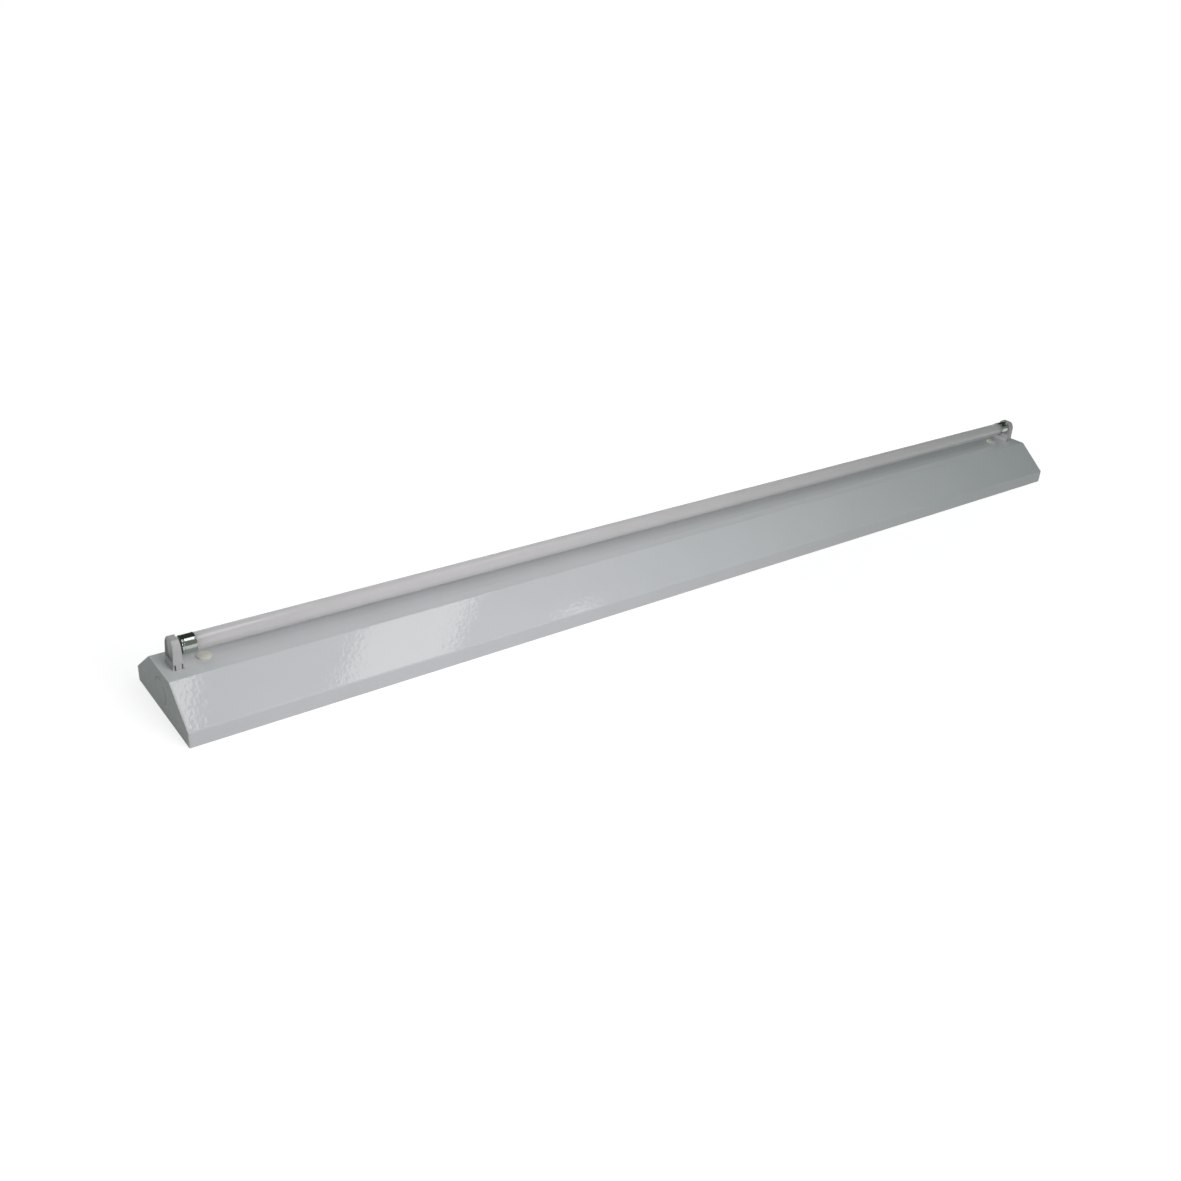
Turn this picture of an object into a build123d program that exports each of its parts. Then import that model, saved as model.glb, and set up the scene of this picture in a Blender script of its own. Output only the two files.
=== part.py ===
from build123d import *
from math import sqrt
import os

# Single-lamp batten light, lying on its back with the lamp up, in millimetres.
# X runs along the lamp, and Z points from the mounting face towards the lamp.
# The origin is the middle of the mounting face.

# Cover: folded sheet with a flat top, two slopes and two upright flanges
body_overhang = 19.5
body_width = 122.0
body_height = 44.0
top_width = 48.5
flange_height = 15.0
cover_sheet = 0.8
bend_radius = 1.0

# End caps that close the two ends of the cover
end_cap_wall = 1.6
end_cap_rim_radius = 0.6
end_cap_tongue_length = 10.0
end_cap_tongue_wall = 1.5
end_cap_tongue_setback = 5.0
end_cap_fit = 0.15
knockout_radius = 12.8
knockout_height = 22.5
knockout_groove_width = 0.8
knockout_groove_depth = 0.9

# Base tray that is screwed to the ceiling
tray_sheet = 1.0
tray_flange_height = 11.0
tray_side_gap = 0.4
tray_end_gap = 0.5
mount_spacing = 800.0
mount_slot_width = 5.5
mount_slot_length = 14.0

# Cable entry: a raised round boss in the tray with a rubber grommet
entry_x = 90.0
entry_boss_radius = 18.0
entry_boss_top_radius = 14.5
entry_rise = 2.6
entry_hole_radius = 9.0
grommet_bore_radius = 5.0
grommet_flange_radius = 11.5
grommet_flange_thickness = 1.6
grommet_fit = 0.05

# Lamp: glass tube with a two-pin metal cap at each end
lamp_length = 1149.0
lamp_rise = 17.3
tube_diameter = 16.0
glass_wall = 1.0
lamp_cap_length = 13.0
lamp_cap_sheet = 0.25
lamp_cap_end_wall = 0.5
lamp_cap_shoulder = 1.0
lamp_cap_bead_length = 1.2
lamp_cap_bead_rise = 0.2
lamp_cap_groove_place = 2.6
lamp_cap_groove_depth = 0.25
lamp_cap_groove_half_width = 0.5
lamp_cap_fit = 0.05
pin_diameter = 2.37
pin_spacing = 4.75
pin_length = 6.9
pin_inner_length = 0.4
insulator_thickness = 1.6
insulator_boss_radius = 5.0
insulator_fit = 0.05
glass_end_gap = 0.5
led_board_width = 10.0
led_board_thickness = 1.0
led_board_setback = 12.0
led_board_fit = 0.05
led_count = 64
led_length = 3.5
led_width = 2.8
led_height = 0.7
lead_diameter = 0.8
lead_overlap = 3.0
lead_bend_radius = 2.0

# Lamp holders, pushed up through the cover's top and held by two hooks each
lamp_end_gap = 1.4
holder_radius = 10.0
holder_top_rise = 8.7
holder_taper = 1.5
holder_back_edge_radius = 0.6
holder_front_edge_radius = 0.5
holder_core_inset = 1.2
holder_core_thickness = 5.0
holder_rim_wall = 1.5
hook_height = 5.0
hook_tip_gap = 0.3
hook_slit = 1.2
hook_thickness = 1.0
hook_barb = 0.8
hook_tip_thickness = 0.5
hook_side_inset = 0.2
holder_seat_gap = 0.1
cutout_clearance = 0.2
foot_depth = 8.6
foot_ledge = 1.5

# Rotor, contacts and back plate inside each holder
rotor_neck_radius = 5.1
rotor_flange_rim = 1.0
rotor_neck_length = 1.2
rotor_flange_length = 2.7
rotor_radial_fit = 0.1
rotor_end_play = 0.1
rotor_slot_clearance = 0.165
pin_entry_clearance = 0.315
pin_end_clearance = 0.2
chamber_half_width = 4.6
contact_thickness = 0.4
contact_rise = 1.2
contact_side_gap = 0.1
contact_pin_gap = 0.06
back_plate_thickness = 1.0
back_plate_fit = 0.1
back_plate_ledge = 1.0
back_plate_recess = 0.2

# Quarter-turn buttons that lock the cover under the brackets
knob_setback = 20.0
knob_head_diameter = 12.4
knob_head_height = 3.0
knob_rim_height = 1.8
knob_edge_radius = 0.6
knob_seat_gap = 0.05
knob_shank_diameter = 6.0
knob_hole_clearance = 0.2
knob_bar_length = 10.0
knob_bar_width = 3.0
knob_bar_height = 2.4
knob_bar_gap = 0.2
knob_slot_clearance = 0.4

# Hat brackets on the tray, one under each button
bracket_sheet = 1.0
bracket_leg_spacing = 24.0
bracket_foot_length = 11.0
bracket_width = 26.0
bracket_cover_gap = 0.2
rivet_radius = 1.6
rivet_head_radius = 3.0
rivet_head_height = 1.2
rivet_fit = 0.05
rivet_spacing = 14.0

# Wires and the height of every terminal's wire hole above the mounting face
wire_diameter = 2.0
wire_level = 8.0
low_wire_level = 4.0
wire_hole_clearance = 0.2
wire_bend_radius = 14.0
riser_bend_radius = 10.0
holder_wire_wall = 0.9
holder_wire_spacing = 10.2
holder_wire_reach = 1.4
clip_length = 8.0
clip_margin = 3.0
clip_roof = 2.0
clip_fit = 0.1
front_clip_pitch = 80.0
front_clip_start = 40.0
front_clip_count = 2
back_clip_pitch = 160.0
back_clip_start = 120.0
back_clip_count = 5
back_wire_margin = 6.8
wire_row_gap = 6.0
back_wire_turn_gap = 30.0
back_wire_turn_step = 15.0
wire_drop_start = 12.0
wire_drop_length = 24.0

# Driver: sheet case with a lid, liner, circuit board and push-in terminals
driver_x = -180.0
driver_side_gap = 13.8
driver_length = 240.0
driver_width = 30.0
driver_height = 20.0
driver_sheet = 0.6
driver_lid_gap = 0.1
driver_lid_lip = 7.0
driver_ear_length = 12.0
driver_ear_width = 20.0
driver_liner_thickness = 1.5
driver_board_thickness = 1.6
driver_board_gap = 0.3
driver_terminal_length = 14.0
driver_terminal_height = 8.0
driver_terminal_setback = 0.5
driver_terminal_hole_depth = 8.0
driver_wire_depth = 6.0
driver_wire_pitch = 6.0
driver_wire_count = 4
coil_length = 24.0
coil_width = 18.0
coil_top_gap = 2.7
choke_size = 10.0
capacitor_radius = 5.0
capacitor_length = 20.0
component_gap = 3.0
component_count = 7

# Mains terminal block with brass sleeves and clamp screws
terminal_x = 20.0
terminal_y = 20.0
terminal_pitch = 12.0
terminal_pole_count = 3
terminal_end_wall = 1.0
terminal_width = 20.0
terminal_height = 15.0
terminal_floor_height = 10.0
sleeve_length = 16.0
sleeve_radius = 2.5
sleeve_bore_radius = 1.5
sleeve_fit = 0.05
sleeve_wire_depth = 5.0
clamp_screw_radius = 1.2
clamp_screw_head_radius = 1.6
clamp_screw_head_height = 1.4
clamp_screw_shank_length = 4.0
clamp_screw_spacing = 9.0
clamp_screw_fit = 0.05

# Press-in studs, their nuts, and the earth lug
stud_radius = 2.0
small_stud_radius = 1.5
stud_fit = 0.05
stud_end = 1.5
nut_width = 7.0
nut_height = 3.2
small_nut_width = 5.5
small_nut_height = 2.4
small_nut_pocket_clearance = 0.12
earth_x = 70.0
earth_y = -25.0
lug_radius = 4.0
lug_thickness = 0.8
lug_barrel_radius = 1.8
lug_barrel_length = 6.0
lug_neck_length = 3.0
lug_wire_fit = 0.05

# Places that follow from the sizes above
lamp_half = lamp_length / 2
body_half = lamp_half + body_overhang
cover_half = body_half - end_cap_wall
tray_half_width = body_width / 2 - cover_sheet - tray_side_gap
lamp_axis_height = body_height + lamp_rise
glass_half = lamp_half - lamp_cap_groove_place - lamp_cap_groove_half_width - glass_end_gap
cap_bore_radius = tube_diameter / 2 + lamp_cap_fit
cap_radius = cap_bore_radius + lamp_cap_sheet
cap_bead_radius = cap_radius + lamp_cap_bead_rise
holder_face = lamp_half + lamp_end_gap
slab_bottom = body_height + hook_height
foot_top = body_height - cover_sheet - holder_seat_gap
foot_bottom = foot_top - foot_depth
core_end = holder_core_inset + holder_core_thickness
inner_hook = holder_core_inset - hook_slit
outer_hook = core_end + hook_slit
rotor_flange_radius = rotor_neck_radius + rotor_flange_rim
rotor_front = rotor_end_play
pocket_start = rotor_front + rotor_neck_length - rotor_end_play
pocket_end = rotor_front + rotor_neck_length + rotor_flange_length + rotor_end_play
plate_face = pin_length - lamp_end_gap + pin_end_clearance
holder_top_thickness = plate_face + back_plate_thickness + back_plate_recess
holder_base_thickness = holder_top_thickness + holder_taper
plate_bottom = slab_bottom + holder_rim_wall
chamber_bottom = plate_bottom + back_plate_ledge
wire_radius = wire_diameter / 2
holder_wire_x = holder_face + core_end - holder_wire_wall - wire_radius - wire_hole_clearance
pin_radius = pin_diameter / 2
knob_x = lamp_half - knob_setback
bracket_top = body_height - cover_sheet - bracket_cover_gap
knob_hole_radius = knob_shank_diameter / 2 + knob_hole_clearance
driver_y = driver_width / 2 + driver_side_gap + tray_sheet - tray_half_width
driver_start = driver_x - driver_length / 2
driver_end = driver_x + driver_length / 2
driver_board_bottom = tray_sheet + driver_sheet + driver_liner_thickness
driver_board_top = driver_board_bottom + driver_board_thickness
driver_inner_width = driver_width - 2 * driver_sheet
lid_underside = tray_sheet + driver_height - driver_sheet
back_wire_turn_x = driver_start - back_wire_turn_gap
outer_wire_y = tray_half_width - tray_sheet - back_wire_margin
inner_wire_y = outer_wire_y - wire_row_gap

cover_outline = [
    (-body_width / 2, 0),
    (-body_width / 2, flange_height),
    (-top_width / 2, body_height),
    (top_width / 2, body_height),
    (body_width / 2, flange_height),
    (body_width / 2, 0),
]


def offset_path(points, distance):
    """Points of an open path moved to its right by a distance, with mitred corners."""
    path = [Vector(*point) for point in points]
    ways = [(b - a).normalized() for a, b in zip(path, path[1:])]
    sides = [Vector(way.Y, -way.X) for way in ways]
    moved = [path[0] + sides[0] * distance]
    for point, before, after in zip(path[1:], sides, sides[1:]):
        moved.append(point + (before + after) * (distance / (1 + before.dot(after))))
    moved.append(path[-1] + sides[-1] * distance)
    return moved


def bent_strip(points, sheet, radius):
    """Section of a bent sheet that lies to the right of a path, with round bends."""
    path = [Vector(*point) for point in points]
    other = offset_path(path, sheet)
    path_radii = []
    other_radii = []
    for a, b, c in zip(path, path[1:], path[2:]):
        right_turn = (b - a).cross(c - b).Z < 0
        path_radii.append(radius + sheet if right_turn else radius)
        other_radii.append(radius if right_turn else radius + sheet)
    edges = [
        *FilletPolyline(*path, radius=path_radii).edges(),
        *FilletPolyline(*other, radius=other_radii).edges(),
        Line(path[0], other[0]).edge(),
        Line(path[-1], other[-1]).edge(),
    ]
    return make_face(edges)


def outline_face(points):
    """Flat face inside a closed outline of straight lines."""
    return make_face(Polyline(*points, close=True).edges())


def along_x(section, start, end):
    """Solid of a section across the lamp, between two places along X."""
    return extrude(Plane.YZ.offset(start) * section, amount=end - start)


def along_y(section, half_width):
    """Solid of a section in the X-Z plane, as wide to both sides of the lamp's plane."""
    return extrude(Plane.XZ * section, amount=half_width, both=True)


def block(low, high):
    """Box between two opposite corners."""
    size = Vector(*high) - Vector(*low)
    return Pos(*low) * Box(size.X, size.Y, size.Z, align=(Align.MIN, Align.MIN, Align.MIN))


def rod(radius, start, end):
    """Round bar between two points."""
    way = Vector(*end) - Vector(*start)
    return extrude(Plane(origin=start, z_dir=way) * Circle(radius), amount=way.length)


def tube(points, radii, diameter):
    """Round wire along straight runs joined by arcs."""
    path = FilletPolyline(*points, radius=radii)
    way = Vector(*points[1]) - Vector(*points[0])
    return sweep(Plane(origin=points[0], z_dir=way) * Circle(diameter / 2), path=path)


def lathe(points):
    """Solid turned about the lamp's axis from an outline of X and radius."""
    profile = Plane.XZ * outline_face(points)
    return Pos(0, 0, lamp_axis_height) * revolve(profile, axis=Axis.X)


def group(shapes):
    """Several separate solids as one piece."""
    return Compound([solid for shape in shapes for solid in shape.solids()])


def other_end(shape):
    """The same piece at the other end of the light."""
    return mirror(shape, about=Plane.YZ)


def save(name, shape):
    export_step(shape, f"parts/{name}.step")


def save_pair(name, shape):
    """Write a piece made for the +X end and its mirror image for the -X end."""
    save(f"{name}_right", shape)
    save(f"{name}_left", other_end(shape))


def both_ends(shape):
    return [shape, other_end(shape)]


def make_cover():
    """Folded cover with a cut-out for each holder and a hole for each button."""
    cover = along_x(bent_strip(cover_outline, cover_sheet, bend_radius), -cover_half, cover_half)
    cutout = block(
        (
            holder_face + inner_hook - hook_thickness - cutout_clearance,
            -holder_radius - cutout_clearance,
            foot_top,
        ),
        (
            holder_face + outer_hook + hook_thickness + cutout_clearance,
            holder_radius + cutout_clearance,
            body_height + cover_sheet,
        ),
    )
    knob_hole = rod(knob_hole_radius, (knob_x, 0, foot_top), (knob_x, 0, body_height + cover_sheet))
    for cut in both_ends(cutout + knob_hole):
        cover -= cut
    return cover


def make_end_cap():
    """Cap with a tongue inside each slope of the cover, and a thin ring round its knockout."""
    outer = bend_radius + cover_sheet
    outline = FilletPolyline(*cover_outline, radius=[0, outer, outer, outer, outer, 0], close=True)
    cap = along_x(make_face(outline.edges()), cover_half, body_half)
    cap = fillet(cap.faces().sort_by(Axis.X)[-1].edges(), end_cap_rim_radius)
    corners = offset_path(cover_outline, cover_sheet + end_cap_fit)
    way = (corners[2] - corners[1]).normalized()
    inward = Vector(way.Y, -way.X) * end_cap_tongue_wall
    low = corners[1] + way * end_cap_tongue_setback
    high = corners[2] - way * end_cap_tongue_setback
    section = outline_face([low, high, high + inward, low + inward])
    tongue = along_x(section, cover_half - end_cap_tongue_length, cover_half)
    cap += [tongue, mirror(tongue, about=Plane.XZ)]
    ring = Circle(knockout_radius) - Circle(knockout_radius - knockout_groove_width)
    return cap - along_x(Pos(0, knockout_height) * ring, body_half - knockout_groove_depth, body_half)


def stud_places():
    """Each stud's place, radius and top, with its nut's width, height and seat."""
    ear_seat = tray_sheet + driver_sheet
    ear_reach = driver_ear_length / 2
    block_seat = tray_sheet + terminal_floor_height
    lug_seat = wire_level + lug_thickness / 2
    places = []
    for x in (driver_start - ear_reach, driver_end + ear_reach):
        places.append((x, driver_y, stud_radius, nut_width, nut_height, ear_seat))
    for side in (-1, 1):
        x = terminal_x + side * terminal_pitch / 2
        places.append((x, terminal_y, small_stud_radius, small_nut_width, small_nut_height, block_seat))
    places.append((earth_x, earth_y, stud_radius, nut_width, nut_height, lug_seat))
    return places


def rivet_places():
    """Centres of the rivets that hold both brackets."""
    reach = (bracket_leg_spacing + bracket_foot_length) / 2
    return [
        (end * (knob_x + side * reach), row * rivet_spacing / 2)
        for end in (-1, 1)
        for side in (-1, 1)
        for row in (-1, 1)
    ]


def make_tray():
    """Shallow tray with mounting slots, a raised cable entry and holes for studs and rivets."""
    half = tray_half_width
    path = [(half, tray_flange_height), (half, 0), (-half, 0), (-half, tray_flange_height)]
    reach = cover_half - tray_end_gap
    tray = along_x(bent_strip(path, tray_sheet, bend_radius), -reach, reach)
    tray -= Pos(entry_x, 0) * Cylinder(entry_boss_radius, 2 * tray_sheet)
    boss = outline_face(
        [
            (entry_boss_radius, 0),
            (entry_boss_top_radius, entry_rise),
            (entry_hole_radius, entry_rise),
            (entry_hole_radius, entry_rise + tray_sheet),
            (entry_boss_top_radius, entry_rise + tray_sheet),
            (entry_boss_radius, tray_sheet),
        ]
    )
    tray += Pos(entry_x, 0) * revolve(Plane.XZ * boss, axis=Axis.Z)
    slot = extrude(SlotOverall(mount_slot_length, mount_slot_width), amount=2 * tray_sheet, both=True)
    for end in (-1, 1):
        tray -= Pos(end * mount_spacing / 2, 0) * slot
    for x, y, radius, *_ in stud_places():
        tray -= Pos(x, y) * Cylinder(radius + stud_fit, 4 * tray_sheet)
    for x, y in rivet_places():
        tray -= Pos(x, y) * Cylinder(rivet_radius + rivet_fit, 4 * tray_sheet)
    return tray


def make_grommet():
    """Rubber ring with a groove that holds the edge of the entry hole."""
    low = entry_rise - grommet_fit
    high = entry_rise + tray_sheet + grommet_fit
    neck = entry_hole_radius - grommet_fit
    profile = outline_face(
        [
            (grommet_bore_radius, low - grommet_flange_thickness),
            (grommet_flange_radius, low - grommet_flange_thickness),
            (grommet_flange_radius, low),
            (neck, low),
            (neck, high),
            (grommet_flange_radius, high),
            (grommet_flange_radius, high + grommet_flange_thickness),
            (grommet_bore_radius, high + grommet_flange_thickness),
        ]
    )
    return Pos(entry_x, 0) * revolve(Plane.XZ * profile, axis=Axis.Z)


def make_bracket():
    """Hat bracket with a hole and a slot that the button's bar passes when it is turned."""
    leg = bracket_leg_spacing / 2
    foot = leg + bracket_foot_length
    path = [
        (knob_x - foot, tray_sheet + bracket_sheet),
        (knob_x - leg, tray_sheet + bracket_sheet),
        (knob_x - leg, bracket_top),
        (knob_x + leg, bracket_top),
        (knob_x + leg, tray_sheet + bracket_sheet),
        (knob_x + foot, tray_sheet + bracket_sheet),
    ]
    bracket = along_y(bent_strip(path, bracket_sheet, bend_radius), bracket_width / 2)
    top = Pos(knob_x, 0, bracket_top)
    bracket -= top * Cylinder(knob_hole_radius, 4 * bracket_sheet)
    slot_length = knob_bar_length + 2 * knob_slot_clearance
    slot_width = knob_bar_width + 2 * knob_slot_clearance
    bracket -= top * Box(slot_length, slot_width, 4 * bracket_sheet)
    for x, y in rivet_places():
        bracket -= Pos(x, y, tray_sheet) * Cylinder(rivet_radius + rivet_fit, 4 * bracket_sheet)
    return bracket


def make_rivets():
    """Rivets set flush with the mounting face."""
    seat = tray_sheet + bracket_sheet
    rivets = []
    for x, y in rivet_places():
        shank = rod(rivet_radius, (x, y, 0), (x, y, seat))
        head = rod(rivet_head_radius, (x, y, seat), (x, y, seat + rivet_head_height))
        rivets.append(shank + fillet(head.faces().sort_by(Axis.Z)[-1].edges(), rivet_head_height / 2))
    return group(rivets)


def make_knob():
    """Round button with a domed head, a shank and a locking bar across the lamp."""
    seat = body_height + knob_seat_gap
    head_radius = knob_head_diameter / 2
    rim = seat + knob_rim_height
    crown = seat + knob_head_height
    rise = knob_head_height - knob_rim_height
    sphere = (head_radius**2 + rise**2) / (2 * rise)
    halfway = (head_radius / 2, crown - sphere + sqrt(sphere**2 - head_radius**2 / 4))
    sides = Polyline((0, crown), (0, seat), (head_radius, seat), (head_radius, rim))
    dome = ThreePointArc((head_radius, rim), halfway, (0, crown))
    profile = make_face([*sides.edges(), dome.edge()])
    head = Pos(knob_x, 0) * revolve(Plane.XZ * profile, axis=Axis.Z)
    rims = head.faces().filter_by(GeomType.CYLINDER)[0].edges().filter_by(GeomType.CIRCLE)
    head = fillet(rims.sort_by(Axis.Z)[-1], knob_edge_radius)
    bar_top = bracket_top - bracket_sheet - knob_bar_gap
    shank = rod(knob_shank_diameter / 2, (knob_x, 0, bar_top - knob_bar_height), (knob_x, 0, seat))
    bar = block(
        (knob_x - knob_bar_width / 2, -knob_bar_length / 2, bar_top - knob_bar_height),
        (knob_x + knob_bar_width / 2, knob_bar_length / 2, bar_top),
    )
    return head + shank + bar


def holder_outline(inset, bottom):
    """Outline of a holder across the lamp, round with a flat top, drawn in by an inset."""
    radius = holder_radius - inset
    top = lamp_axis_height + holder_top_rise - inset
    middle = (bottom + lamp_axis_height) / 2
    sides = Pos(0, middle) * Rectangle(2 * radius, lamp_axis_height - bottom)
    below_top = Pos(0, (bottom + top) / 2) * Rectangle(2 * radius, top - bottom)
    return (sides + Pos(0, lamp_axis_height) * Circle(radius)) & below_top


def make_holder_slab():
    """Upright part of the holder, thinner at the top, with rounded edges."""
    top = lamp_axis_height + holder_top_rise
    wedge = outline_face(
        [
            (holder_face, slab_bottom),
            (holder_face + holder_base_thickness, slab_bottom),
            (holder_face + holder_top_thickness, top),
            (holder_face, top),
        ]
    )
    section = holder_outline(0, slab_bottom)
    slab = along_x(section, holder_face, holder_face + holder_base_thickness)
    slab = (slab & along_y(wedge, 2 * holder_radius)).solid()
    back_edges = slab.faces().sort_by(Axis.X)[-1].edges().sort_by(Axis.Z)[1:]
    slab = fillet(back_edges, holder_back_edge_radius)
    front_edges = slab.faces().sort_by(Axis.X)[0].edges().sort_by(Axis.Z)[1:]
    return fillet(front_edges, holder_front_edge_radius)


def make_hook(shank, way):
    """Hook beside the holder's core: it starts at a depth and its barb points one way."""
    outside = shank + way * hook_thickness
    barb = outside + way * hook_barb
    tip = slab_bottom - hook_tip_gap
    seat = body_height + holder_seat_gap
    outline = [
        (shank, foot_bottom),
        (shank, tip),
        (shank + way * hook_tip_thickness, tip),
        (barb, seat),
        (outside, seat),
        (outside, foot_bottom),
    ]
    section = outline_face([(holder_face + depth, height) for depth, height in outline])
    return along_y(section, holder_radius - hook_side_inset)


def make_holder_housing():
    """Holder body with its foot, hooks, rotor pocket, pin slot and contact chamber."""
    core = block(
        (holder_face + holder_core_inset, -holder_radius, foot_top),
        (holder_face + core_end, holder_radius, slab_bottom),
    )
    foot = block(
        (holder_face + inner_hook - hook_thickness, -holder_radius - foot_ledge, foot_bottom),
        (holder_face + outer_hook + hook_thickness, holder_radius + foot_ledge, foot_top),
    )
    body = make_holder_slab() + core + foot + make_hook(inner_hook, -1) + make_hook(outer_hook, 1)
    front = holder_face
    axis_z = lamp_axis_height
    neck_bore = rotor_neck_radius + rotor_radial_fit
    flange_bore = rotor_flange_radius + rotor_radial_fit
    body -= rod(neck_bore, (front, 0, axis_z), (front + pocket_start, 0, axis_z))
    body -= rod(flange_bore, (front + pocket_start, 0, axis_z), (front + pocket_end, 0, axis_z))
    entry = pin_radius + pin_entry_clearance
    body -= block((front, -entry, axis_z), (front + plate_face, entry, axis_z + 2 * holder_radius))
    body -= block(
        (front + pocket_end, -chamber_half_width, chamber_bottom),
        (front + plate_face, chamber_half_width, axis_z + chamber_half_width),
    )
    rebate = holder_outline(holder_rim_wall, plate_bottom)
    body -= along_x(rebate, front + plate_face, front + 2 * holder_base_thickness)
    hole = wire_radius + wire_hole_clearance
    for side in (-1, 1):
        y = side * holder_wire_spacing / 2
        end = chamber_bottom + holder_wire_reach + wire_hole_clearance
        body -= rod(hole, (holder_wire_x, y, foot_bottom), (holder_wire_x, y, end))
    return body


def make_rotor():
    """Rotor with a slot that is open at one side, so the pins enter from there."""
    start = holder_face + rotor_front
    shoulder = start + rotor_neck_length
    end = shoulder + rotor_flange_length
    axis_z = lamp_axis_height
    rotor = rod(rotor_neck_radius, (start, 0, axis_z), (shoulder, 0, axis_z))
    rotor += rod(rotor_flange_radius, (shoulder, 0, axis_z), (end, 0, axis_z))
    half = pin_radius + rotor_slot_clearance
    closed_end = -pin_spacing / 2
    rotor -= rod(half, (start, closed_end, axis_z), (end, closed_end, axis_z))
    open_end = 2 * rotor_flange_radius
    return rotor - block((start, closed_end, axis_z - half), (end, open_end, axis_z + half))


def make_contacts():
    """Two upright spring strips, one beside each pin."""
    near = pin_spacing / 2 + pin_radius + contact_pin_gap
    strips = []
    for side in (-1, 1):
        ys = sorted((side * near, side * (near + contact_thickness)))
        strips.append(
            block(
                (holder_face + pocket_end + contact_side_gap, ys[0], chamber_bottom + contact_side_gap),
                (holder_face + plate_face - contact_side_gap, ys[1], lamp_axis_height + contact_rise),
            )
        )
    return group(strips)


def make_back_plate():
    """Plate that closes the contact chamber, set in the holder's rim."""
    section = holder_outline(holder_rim_wall + back_plate_fit, plate_bottom + back_plate_fit)
    start = holder_face + plate_face
    return along_x(section, start, start + back_plate_thickness)


def make_lamp_tube():
    axis_z = lamp_axis_height
    radius = tube_diameter / 2
    outside = rod(radius, (-glass_half, 0, axis_z), (glass_half, 0, axis_z))
    return outside - rod(radius - glass_wall, (-glass_half, 0, axis_z), (glass_half, 0, axis_z))


def make_lamp_cap():
    """Drawn metal cap with a bead at its mouth, and a rolled groove behind its round shoulder."""
    opening = insulator_boss_radius + insulator_fit
    start = lamp_half - lamp_cap_length
    bead_end = start + lamp_cap_bead_length
    groove = lamp_half - lamp_cap_groove_place
    half = lamp_cap_groove_half_width
    depth = lamp_cap_groove_depth
    floor = lamp_half - lamp_cap_end_wall
    cap = lathe(
        [
            (start, cap_bore_radius),
            (start, cap_bead_radius),
            (bead_end, cap_bead_radius),
            (bead_end + lamp_cap_bead_rise, cap_radius),
            (groove - half, cap_radius),
            (groove, cap_radius - depth),
            (groove + half, cap_bead_radius),
            (lamp_half, cap_bead_radius),
            (lamp_half, opening),
            (floor, opening),
            (floor, cap_bore_radius),
            (groove + half, cap_bore_radius),
            (groove, cap_bore_radius - depth),
            (groove - half, cap_bore_radius),
        ]
    )
    flats = cap.faces().filter_by(Plane.YZ).sort_by(Axis.X)
    mouth_rim, inner_rim, outer_rim = [face.edges().sort_by(SortBy.RADIUS)[-1] for face in flats]
    cap = fillet(outer_rim, lamp_cap_shoulder)
    cap = fillet(mouth_rim, lamp_cap_bead_rise)
    return fillet(inner_rim, lamp_cap_shoulder - lamp_cap_sheet)


def pin_places():
    return [side * pin_spacing / 2 for side in (-1, 1)]


def make_cap_insulator():
    """Plastic disc behind the cap's end face, with a boss through it and two pin holes."""
    floor = lamp_half - lamp_cap_end_wall
    disc_radius = cap_radius - lamp_cap_shoulder - insulator_fit
    disc = lathe(
        [
            (floor - insulator_thickness, 0),
            (floor - insulator_thickness, disc_radius),
            (floor, disc_radius),
            (floor, insulator_boss_radius),
            (lamp_half, insulator_boss_radius),
            (lamp_half, 0),
        ]
    )
    for y in pin_places():
        start = (floor - insulator_thickness, y, lamp_axis_height)
        disc -= rod(pin_radius + insulator_fit, start, (lamp_half, y, lamp_axis_height))
    return disc


def pin_start():
    return lamp_half - lamp_cap_end_wall - insulator_thickness - pin_inner_length


def make_pins():
    pins = []
    for y in pin_places():
        end = (lamp_half + pin_length, y, lamp_axis_height)
        pin = rod(pin_radius, (pin_start(), y, lamp_axis_height), end)
        pins.append(fillet(pin.faces().sort_by(Axis.X)[-1].edges(), pin_radius / 2))
    return group(pins)


def led_board_bottom():
    """Height of the board's underside, whose long edges rest in the glass bore."""
    bore = tube_diameter / 2 - glass_wall
    return lamp_axis_height - sqrt(bore**2 - (led_board_width / 2) ** 2) + led_board_fit


def led_board_half():
    return glass_half - led_board_setback


def make_led_board():
    low = (-led_board_half(), -led_board_width / 2, led_board_bottom())
    high = (led_board_half(), led_board_width / 2, led_board_bottom() + led_board_thickness)
    return block(low, high)


def make_led_chips():
    """One row of chips, evenly spaced along the board."""
    pitch = 2 * led_board_half() / led_count
    seat = led_board_bottom() + led_board_thickness
    chips = []
    for index in range(led_count):
        x = (index + 0.5) * pitch - led_board_half()
        low = (x - led_length / 2, -led_width / 2, seat)
        chips.append(block(low, (x + led_length / 2, led_width / 2, seat + led_height)))
    return group(chips)


def make_lamp_leads():
    """Two leads at each end, from the pins down to the board."""
    board_top = led_board_bottom() + led_board_thickness + lead_diameter / 2
    gap = pin_start() - led_board_half()
    leads = []
    for y in pin_places():
        route = [
            (pin_start(), y, lamp_axis_height),
            (pin_start() - gap / 3, y, lamp_axis_height),
            (led_board_half() + gap / 3, y, board_top),
            (led_board_half() - lead_overlap, y, board_top),
        ]
        leads.append(tube(route, [lead_bend_radius] * 2, lead_diameter))
    return group([lead for each in leads for lead in both_ends(each)])


def driver_wire_y(row):
    """Place across the driver of one of its four wire holes, counted from the front."""
    return driver_y + (row - (driver_wire_count - 1) / 2) * driver_wire_pitch


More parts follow.
